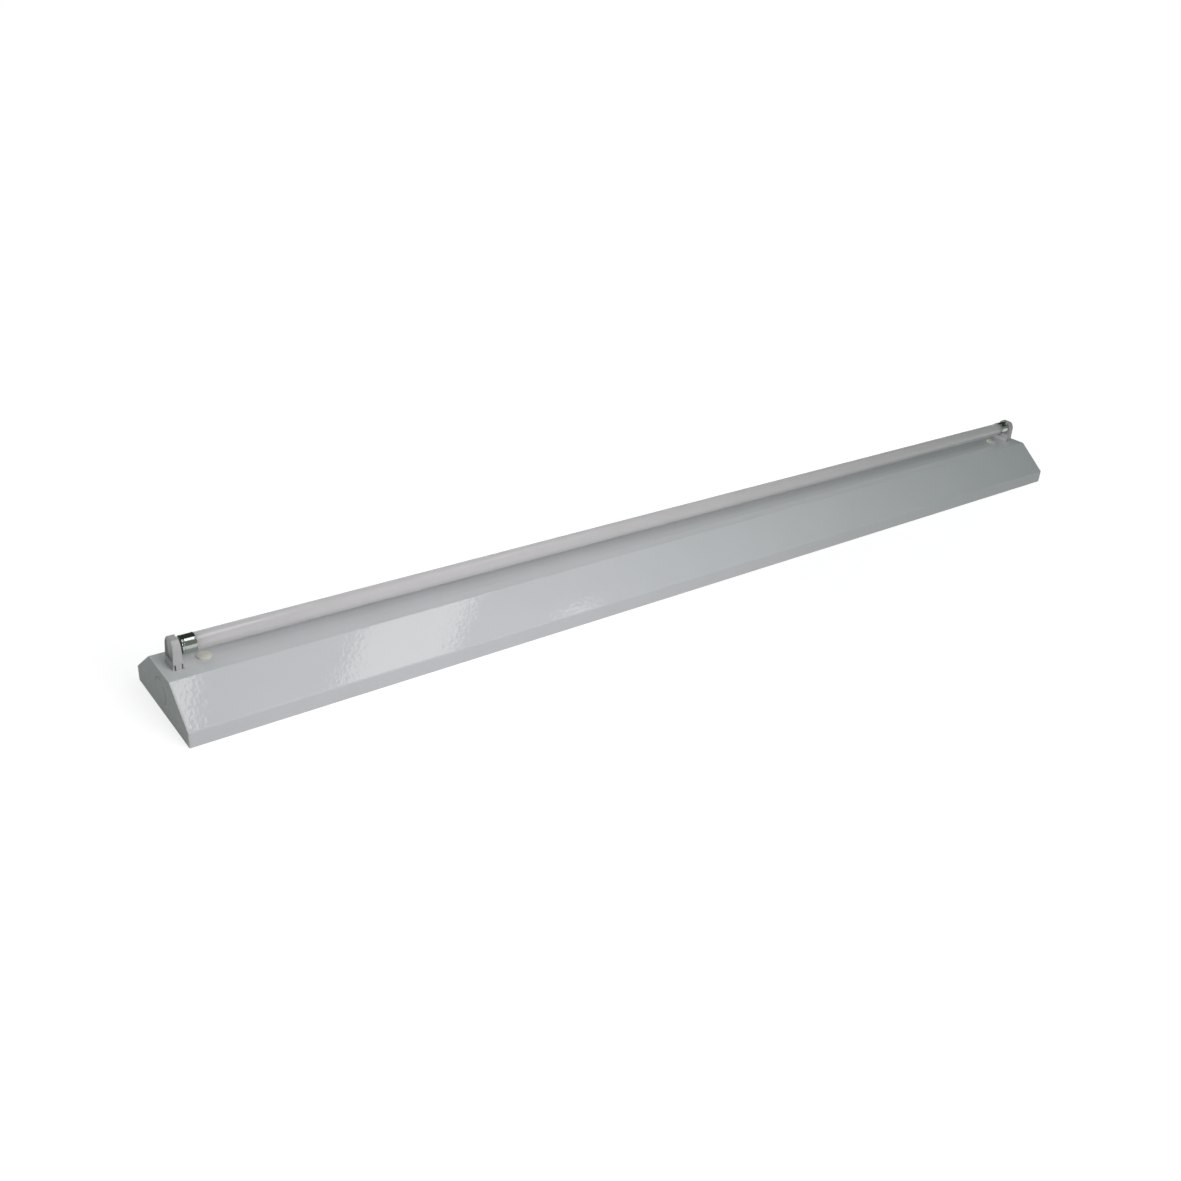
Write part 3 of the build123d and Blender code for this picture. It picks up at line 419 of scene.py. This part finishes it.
def zinc_sheet(name, base, crystal=7.0, depth=0.004):
    """Zinc-plated sheet with faint crystals and rolling lines along the light."""
    material, tree, shader = new_finish(name, base, roughness=0.38, metallic=1.0)
    crystals = tree.nodes.new("ShaderNodeTexVoronoi")
    crystals.inputs["Scale"].default_value = 1 / (crystal * MM)
    tree.links.new(pattern_place(tree), crystals.inputs["Vector"])
    tone = crystals.outputs["Color"]
    vary_colour(tree, shader, tone, shade(base, 0.88), shade(base, 1.08))
    vary_roughness(tree, shader, tone, 0.32, 0.46)
    lines = grain(tree, size=0.8, stretch=(0.03, 1.0, 1.0))
    relief(tree, shader, (lines, depth))
    return material


def plated_metal(name, base, roughness, depth=0.003):
    """Small plated metal piece with faint tarnish."""
    material, tree, shader = new_finish(name, base, roughness, metallic=1.0)
    tarnish = grain(tree, size=2.5, detail=4.0)
    vary_colour(tree, shader, tarnish, shade(base, 0.85), shade(base, 1.05))
    fine = grain(tree, size=0.3)
    vary_roughness(tree, shader, fine, roughness * 0.8, roughness * 1.3)
    relief(tree, shader, (fine, depth))
    return material


def striped_wire(name, base, stripe, depth=0.01):
    """Wire insulation in two colours that wind about its length."""
    material, tree, shader = new_finish(name, base, roughness=0.4)
    bands = tree.nodes.new("ShaderNodeTexWave")
    bands.bands_direction = "DIAGONAL"
    bands.inputs["Scale"].default_value = 120.0
    tree.links.new(pattern_place(tree), bands.inputs["Vector"])
    vary_colour(tree, shader, bands.outputs["Fac"], base, stripe)
    relief(tree, shader, (grain(tree, size=0.5), depth))
    return material


class BATTEN_OT_cover(bpy.types.Operator):
    """Finish the folded cover with gloss powder coat"""

    bl_idname = "batten.cover"
    bl_label = "Cover"
    bl_options = {"REGISTER", "UNDO"}

    def execute(self, context):
        paint = settings("batten_finish").paint
        dress(powder_coat("white_powder_coat", paint, roughness=0.035), "reflector_cover")
        return {"FINISHED"}


class BATTEN_OT_end_caps(bpy.types.Operator):
    """Finish the moulded end caps"""

    bl_idname = "batten.end_caps"
    bl_label = "End caps"
    bl_options = {"REGISTER", "UNDO"}

    def execute(self, context):
        base = settings("batten_finish").end_cap
        finish = moulded_plastic("end_cap_plastic", base, roughness=0.5, specular=0.1)
        dress(finish, *both("end_cap"))
        return {"FINISHED"}


class BATTEN_OT_holders(bpy.types.Operator):
    """Finish the lamp holders with their rotors, contacts and back plates"""

    bl_idname = "batten.holders"
    bl_label = "Lamp holders"
    bl_options = {"REGISTER", "UNDO"}

    def execute(self, context):
        base = settings("batten_finish").holder
        housing = moulded_plastic("holder_plastic", base, roughness=0.36)
        dress(housing, *both("holder_housing"))
        back_plate = moulded_plastic("back_plate_plastic", shade(base, 0.95), roughness=0.42)
        dress(back_plate, *both("holder_back_plate"))
        rotor = moulded_plastic("rotor_plastic", shade(base, 0.9), roughness=0.4)
        dress(rotor, *both("holder_rotor"))
        contact = settings("batten_inside").contact
        bronze = plated_metal("contact_bronze", contact, roughness=0.25)
        dress(bronze, *both("holder_contacts"))
        return {"FINISHED"}


class BATTEN_OT_buttons(bpy.types.Operator):
    """Finish the quarter-turn cover buttons"""

    bl_idname = "batten.buttons"
    bl_label = "Cover buttons"
    bl_options = {"REGISTER", "UNDO"}

    def execute(self, context):
        base = settings("batten_finish").button
        dress(moulded_plastic("cream_plastic", base, roughness=0.34), *both("cover_knob"))
        return {"FINISHED"}


class BATTEN_OT_tube(bpy.types.Operator):
    """Make the coated glass tube"""

    bl_idname = "batten.tube"
    bl_label = "Tube"
    bl_options = {"REGISTER", "UNDO"}

    def execute(self, context):
        edge = settings("batten_shape").glass_edge
        radius = (TUBE_HIGH.z - TUBE_LOW.z) / 2
        corners = [
            (TUBE_LOW.x, 0, 0),
            (TUBE_LOW.x, radius, edge),
            (TUBE_HIGH.x, radius, edge),
            (TUBE_HIGH.x, 0, 0),
        ]
        mesh = turned_mesh("coated_tube", corners, closed=False)
        finish = coated_tube("white_coated_glass", settings("batten_finish").tube)
        link_piece(mesh.name, mesh, finish, "lamp", "tube_glass", "lamp_tube")
        return {"FINISHED"}


class BATTEN_OT_lamp_caps(bpy.types.Operator):
    """Make the bright lamp caps with a bead at the mouth and a rolled groove"""

    bl_idname = "batten.lamp_caps"
    bl_label = "Lamp caps"
    bl_options = {"REGISTER", "UNDO"}

    def execute(self, context):
        finish = drawn_metal("bright_cap_metal", settings("batten_finish").cap_metal)
        outline = self.outline(settings("batten_shape"))
        for end, side in ENDS.items():
            corners = [(side * (CAP_HIGH.x - depth), *corner) for depth, *corner in outline]
            mesh = turned_mesh(f"lamp_cap_{end}_shell", corners, closed=True)
            link_piece(mesh.name, mesh, finish, "lamp", "lamp_cap_metal", f"lamp_cap_{end}")
        return {"FINISHED"}

    @staticmethod
    def outline(shape):
        """Depth from the end face, radius and rounding of each corner of the cap's wall."""
        bead = (CAP_HIGH.z - CAP_LOW.z) / 2
        body = bead - shape.cap_bead_rise
        bore = body - shape.cap_wall
        mouth = CAP_HIGH.x - CAP_LOW.x
        groove = shape.cap_groove_place
        half = shape.cap_groove_width / 2
        dip = shape.cap_groove_dip
        floor = 2 * shape.cap_wall
        fine = shape.cap_round / 3
        return [
            (0.0, shape.cap_opening, fine),
            (0.0, bead, shape.cap_shoulder),
            (groove - half, bead, shape.cap_round),
            (groove, body - dip, shape.cap_round),
            (groove + half, body, fine),
            (mouth - shape.cap_bead - shape.cap_bead_rise, body, fine),
            (mouth - shape.cap_bead, bead, fine),
            (mouth, bead, shape.cap_round),
            (mouth, bore, fine),
            (groove + half, bore, fine),
            (groove, bore - dip, fine),
            (groove - half, bore, fine),
            (floor, bore, fine),
            (floor, shape.cap_opening, fine),
        ]


class BATTEN_OT_lamp_inside(bpy.types.Operator):
    """Finish the lamp's pins, insulators, board, chips and leads"""

    bl_idname = "batten.lamp_inside"
    bl_label = "Lamp pins and board"
    bl_options = {"REGISTER", "UNDO"}

    def execute(self, context):
        inside = settings("batten_inside")
        dress(plated_metal("pin_brass", inside.pin, roughness=0.2), *both("lamp_pins"))
        phenolic = moulded_plastic("phenolic_brown", inside.insulator, roughness=0.45)
        dress(phenolic, *both("cap_insulator"))
        dress(moulded_plastic("white_board_mask", inside.led_board, roughness=0.35), "led_board")
        dress(moulded_plastic("chip_phosphor", inside.led_chip, roughness=0.3), "led_chips")
        dress(moulded_plastic("lead_insulation", inside.lamp_lead, roughness=0.45), "lamp_leads")
        return {"FINISHED"}


class BATTEN_OT_tray(bpy.types.Operator):
    """Finish the base tray, brackets, fasteners and cable entry"""

    bl_idname = "batten.tray"
    bl_label = "Base tray"
    bl_options = {"REGISTER", "UNDO"}

    def execute(self, context):
        zinc = settings("batten_finish").zinc
        inside = settings("batten_inside")
        dress(zinc_sheet("zinc_sheet", zinc), "base_tray", *both("knob_bracket"))
        fasteners = plated_metal("zinc_fastener", shade(zinc, 1.1), roughness=0.28)
        dress(fasteners, "bracket_rivets", "tray_studs", "stud_nuts", "terminal_screws")
        brass = plated_metal("tinned_brass", inside.brass, roughness=0.25)
        dress(brass, "earth_lug", "terminal_sleeves")
        rubber = moulded_plastic("black_rubber", inside.rubber, roughness=0.7, depth=0.03)
        dress(rubber, "cable_grommet")
        return {"FINISHED"}


class BATTEN_OT_driver(bpy.types.Operator):
    """Finish the driver's case, board and parts, the terminals and the wire clips"""

    bl_idname = "batten.driver"
    bl_label = "Driver"
    bl_options = {"REGISTER", "UNDO"}

    def execute(self, context):
        inside = settings("batten_inside")
        dress(zinc_sheet("driver_sheet", inside.driver_sheet), "driver_case", "driver_lid")
        dress(moulded_plastic("liner_sheet", inside.liner, roughness=0.5), "driver_liner")
        board = moulded_plastic("circuit_board", inside.circuit_board, roughness=0.3)
        dress(board, "driver_board")
        potting = moulded_plastic("potted_parts", inside.potting, roughness=0.45)
        dress(potting, "driver_components")
        terminal = moulded_plastic("terminal_plastic", inside.terminal, roughness=0.4)
        dress(terminal, "driver_input_terminal", "driver_output_terminal")
        dress(terminal, "terminal_block", "wire_clips")
        return {"FINISHED"}


class BATTEN_OT_wires(bpy.types.Operator):
    """Finish the wires inside the tray"""

    bl_idname = "batten.wires"
    bl_label = "Wires"
    bl_options = {"REGISTER", "UNDO"}

    def execute(self, context):
        inside = settings("batten_inside")
        plain = {
            "brown_insulation": (inside.live, "wire_live"),
            "blue_insulation": (inside.neutral, "wire_neutral"),
            "white_insulation": (inside.front_wire, "wire_left_front", "wire_right_front"),
            "red_insulation": (inside.back_wire, "wire_left_back", "wire_right_back"),
        }
        for name, (base, *wires) in plain.items():
            dress(moulded_plastic(name, base, roughness=0.42), *wires)
        earth = striped_wire("earth_insulation", inside.earth, inside.earth_stripe)
        dress(earth, "wire_earth")
        return {"FINISHED"}


class BATTEN_OT_studio(bpy.types.Operator):
    """Make the floor, the even surround, the canopy, the soft lights and the camera"""

    bl_idname = "batten.studio"
    bl_label = "Studio"
    bl_options = {"REGISTER", "UNDO"}

    def execute(self, context):
        studio = settings("batten_studio")
        context.scene.view_settings.view_transform = "Standard"
        self.surround(context, studio)
        self.floor(context, studio)
        self.canopy(context, studio)
        self.panels(context, studio)
        self.lights(context, studio)
        self.camera(context, studio)
        return {"FINISHED"}

    @staticmethod
    def seen_directly(tree):
        """One for rays from the camera, from gloss or through glass, and nought for the rest."""
        path = tree.nodes.new("ShaderNodeLightPath")
        total = path.outputs["Is Camera Ray"]
        for name in ("Is Glossy Ray", "Is Transmission Ray"):
            larger = tree.nodes.new("ShaderNodeMath")
            larger.operation = "MAXIMUM"
            tree.links.new(total, larger.inputs[0])
            tree.links.new(path.outputs[name], larger.inputs[1])
            total = larger.outputs["Value"]
        return total

    @staticmethod
    def facing(stand, aim, turn):
        """Place and turn of what stands at one point, faces another and turns about that line."""
        stand = Vector(stand)
        way = Vector(aim) - stand
        turned = way.to_track_quat("-Z", "Y") @ Quaternion((0, 0, 1), turn)
        return Matrix.LocRotScale(stand, turned, None)

    def surround(self, context, studio):
        """White to look at, and a weaker even light on the object."""
        world = bpy.data.worlds.new("white_surround")
        context.scene.world = world
        world.use_nodes = True
        tree = world.node_tree
        mix = tree.nodes.new("ShaderNodeMix")
        mix.data_type = "RGBA"
        mix.inputs["A"].default_value = (*shade(studio.fill_tint, studio.fill), 1.0)
        mix.inputs["B"].default_value = (*WHITE, 1.0)
        tree.links.new(self.seen_directly(tree), mix.inputs["Factor"])
        tree.links.new(mix.outputs["Result"], tree.nodes["Background"].inputs["Color"])

    def floor(self, context, studio):
        """Floor that is white to look at and keeps the part's shadow near it; its glow is painted
        light, weaker round the part and stronger far off where the lamps' light falls away.
        """
        bm = bmesh.new()
        bmesh.ops.create_grid(bm, x_segments=1, y_segments=1, size=FLOOR_REACH)
        mesh = plain_mesh(bm, "pale_floor")
        material, tree, shader = new_finish(
            "pale_floor", studio.floor_colour, roughness=0.9, specular=0.0
        )
        shader.inputs["Emission Color"].default_value = (*WHITE, 1.0)
        distance = tree.nodes.new("ShaderNodeVectorMath")
        distance.operation = "DISTANCE"
        distance.inputs[1].default_value = studio.floor_middle
        tree.links.new(pattern_place(tree), distance.inputs[0])
        # Painted light: the glow rises from the near to the far value with the distance from the
        # floor's middle, making up for lamp light that falls away far from the part
        lift = spread(
            tree,
            distance.outputs["Value"],
            (studio.floor_near_reach, studio.floor_far_reach),
            (studio.floor_near, studio.floor_far),
        )
        seen = tree.nodes.new("ShaderNodeMath")
        seen.operation = "MULTIPLY"
        tree.links.new(self.seen_directly(tree), seen.inputs[0])
        tree.links.new(lift, seen.inputs[1])
        tree.links.new(seen.outputs["Value"], shader.inputs["Emission Strength"])
        mesh.materials.append(material)
        floor = bpy.data.objects.new("pale_floor", mesh)
        context.scene.collection.objects.link(floor)

    @staticmethod
    def canopy(context, studio):
        """Dark half-round canopy over the set, which only gloss shows."""
        bm = bmesh.new()
        reach = studio.canopy_reach
        ends = [bm.verts.new((x, -studio.canopy_radius, 0)) for x in (-reach, reach)]
        bmesh.ops.spin(
            bm,
            geom=[*ends, bm.edges.new(ends)],
            cent=(0, 0, 0),
            axis=(1, 0, 0),
            angle=-pi,
            steps=CANOPY_FACETS,
            use_merge=False,
        )
        mesh = plain_mesh(bm, "dark_canopy")
        material, tree, shader = new_finish("dark_cloth", BLACK, roughness=0.9, specular=0.0)
        shader.inputs["Emission Color"].default_value = (*studio.canopy_tint, 1.0)
        axes = tree.nodes.new("ShaderNodeSeparateXYZ")
        tree.links.new(pattern_place(tree), axes.inputs["Vector"])
        glow = spread(
            tree,
            axes.outputs["Y"],
            (GLOW_FULL * studio.canopy_radius, GLOW_FAINT * studio.canopy_radius),
            (studio.canopy_front, studio.canopy_top),
        )
        tree.links.new(glow, shader.inputs["Emission Strength"])
        mesh.materials.append(material)
        canopy = bpy.data.objects.new("dark_canopy", mesh)
        context.scene.collection.objects.link(canopy)
        canopy.visible_camera = False
        canopy.visible_diffuse = False
        canopy.visible_transmission = False
        canopy.visible_shadow = False

    def panels(self, context, studio):
        """Overhead panels whose reflections lie on the paint; one of them lights it too."""
        self.panel(
            context,
            "overhead_panel",
            over=(0.2928, -0.5645),
            size=(0.245, 0.9),
            watts=studio.panel_watts,
            turn=radians(-31.5),
        )
        self.panel(
            context,
            "end_panel",
            over=(-0.3286, -0.5328),
            size=(0.25, 0.9),
            watts=studio.end_panel_watts,
            turn=radians(-14),
            diffuse=False,
        )
        self.panel(
            context,
            "far_panel",
            over=(0.765, -0.757),
            size=(0.14, 0.3),
            watts=studio.far_panel_watts,
            diffuse=False,
        )
        self.panel(
            context,
            "ceiling_strip",
            over=(1.1, -0.19),
            size=(2.8, 0.03),
            watts=studio.strip_watts,
            diffuse=False,
        )

    def lights(self, context, studio):
        """Soft lights round the set; only the small flash shows in the gloss."""
        self.soft_light(
            context,
            "top_light",
            stand=(-0.4, -0.5, 1.05),
            aim=(-0.4, 0.0, 0.05),
            size=(0.5, 0.4),
            watts=studio.top_watts,
            tint=WHITE,
            glossy=False,
        )
        self.soft_light(
            context,
            "key_light",
            stand=(-0.33, -0.78, 0.56),
            aim=(-0.33, -0.04, 0.03),
            size=(0.4, 0.4),
            watts=studio.key_watts,
            tint=studio.key_tint,
            glossy=False,
        )
        self.soft_light(
            context,
            "back_light",
            stand=(-0.25, 1.25, 0.2),
            aim=(-0.25, 0.0, 0.03),
            size=(1.4, 0.3),
            watts=studio.back_watts,
            tint=studio.key_tint,
            glossy=False,
        )
        self.soft_light(
            context,
            "side_light",
            stand=(1.8, 0.1, 0.16),
            aim=(0.6, 0.0, 0.03),
            size=(0.5, 0.25),
            watts=studio.side_watts,
            tint=studio.key_tint,
            glossy=False,
        )
        self.soft_light(
            context,
            "flash",
            stand=(-0.80, -0.92, 0.68),
            aim=(-0.45, 0.0, 0.04),
            size=(0.12, 0.12),
            watts=studio.flash_watts,
            tint=studio.key_tint,
        )

    def panel(self, context, name, over, size, watts, turn=0.0, diffuse=True):
        """White panel overhead that faces straight down on a point of the floor."""
        stand = (*over, CEILING)
        aim = (*over, 0.0)
        self.soft_light(context, name, stand, aim, size, watts, WHITE, turn, diffuse)

    def soft_light(
        self, context, name, stand, aim, size, watts, tint, turn=0.0, diffuse=True, glossy=True
    ):
        """Rectangular light that faces a point, turned about its own axis."""
        light = bpy.data.lights.new(name, "AREA")
        light.shape = "RECTANGLE"
        light.size, light.size_y = size
        light.energy = watts
        light.color = tint
        lamp = bpy.data.objects.new(name, light)
        context.scene.collection.objects.link(lamp)
        lamp.matrix_world = self.facing(stand, aim, turn)
        lamp.visible_camera = False
        lamp.visible_diffuse = diffuse
        lamp.visible_glossy = glossy

    def camera(self, context, studio):
        """Camera at the photograph's viewing angle."""
        lens = bpy.data.cameras.new("view")
        lens.sensor_width = studio.camera_film
        lens.lens = studio.camera_lens
        lens.clip_start = 0.05
        lens.clip_end = 100.0
        view = bpy.data.objects.new("view", lens)
        context.scene.collection.objects.link(view)
        view.matrix_world = self.facing(
            studio.camera_place, studio.camera_aim, studio.camera_roll
        )
        context.scene.camera = view


class BATTEN_PT_panel(bpy.types.Panel):
    """Steps, sizes and colours of the batten light"""

    bl_idname = "BATTEN_PT_panel"
    bl_label = "Batten light"
    bl_space_type = "VIEW_3D"
    bl_region_type = "UI"
    bl_category = "Batten"

    def draw(self, context):
        for step in STEPS:
            self.layout.operator(step.bl_idname)
        for group in GROUPS:
            box = self.layout.box()
            values = settings(group)
            for key in values.bl_rna.properties.keys():
                if key not in ("rna_type", "name"):
                    box.prop(values, key)


GROUPS = {
    "batten_shape": BattenShape,
    "batten_finish": BattenFinish,
    "batten_inside": BattenInside,
    "batten_studio": BattenStudio,
}
STEPS = (
    BATTEN_OT_cover,
    BATTEN_OT_end_caps,
    BATTEN_OT_holders,
    BATTEN_OT_buttons,
    BATTEN_OT_tube,
    BATTEN_OT_lamp_caps,
    BATTEN_OT_lamp_inside,
    BATTEN_OT_tray,
    BATTEN_OT_driver,
    BATTEN_OT_wires,
    BATTEN_OT_studio,
)


def register():
    """Register the property groups, the operators and the panel."""
    for group, kind in GROUPS.items():
        bpy.utils.register_class(kind)
        setattr(bpy.types.Scene, group, bpy.props.PointerProperty(type=kind))
    for kind in (*STEPS, BATTEN_PT_panel):
        bpy.utils.register_class(kind)


def unregister():
    """Take back what register did."""
    for kind in reversed((*STEPS, BATTEN_PT_panel)):
        bpy.utils.unregister_class(kind)
    for group, kind in GROUPS.items():
        delattr(bpy.types.Scene, group)
        bpy.utils.unregister_class(kind)


def main():
    """Run every step."""
    register()
    for step in STEPS:
        family, name = step.bl_idname.split(".")
        getattr(getattr(bpy.ops, family), name)()


if __name__ == "__main__":
    main()
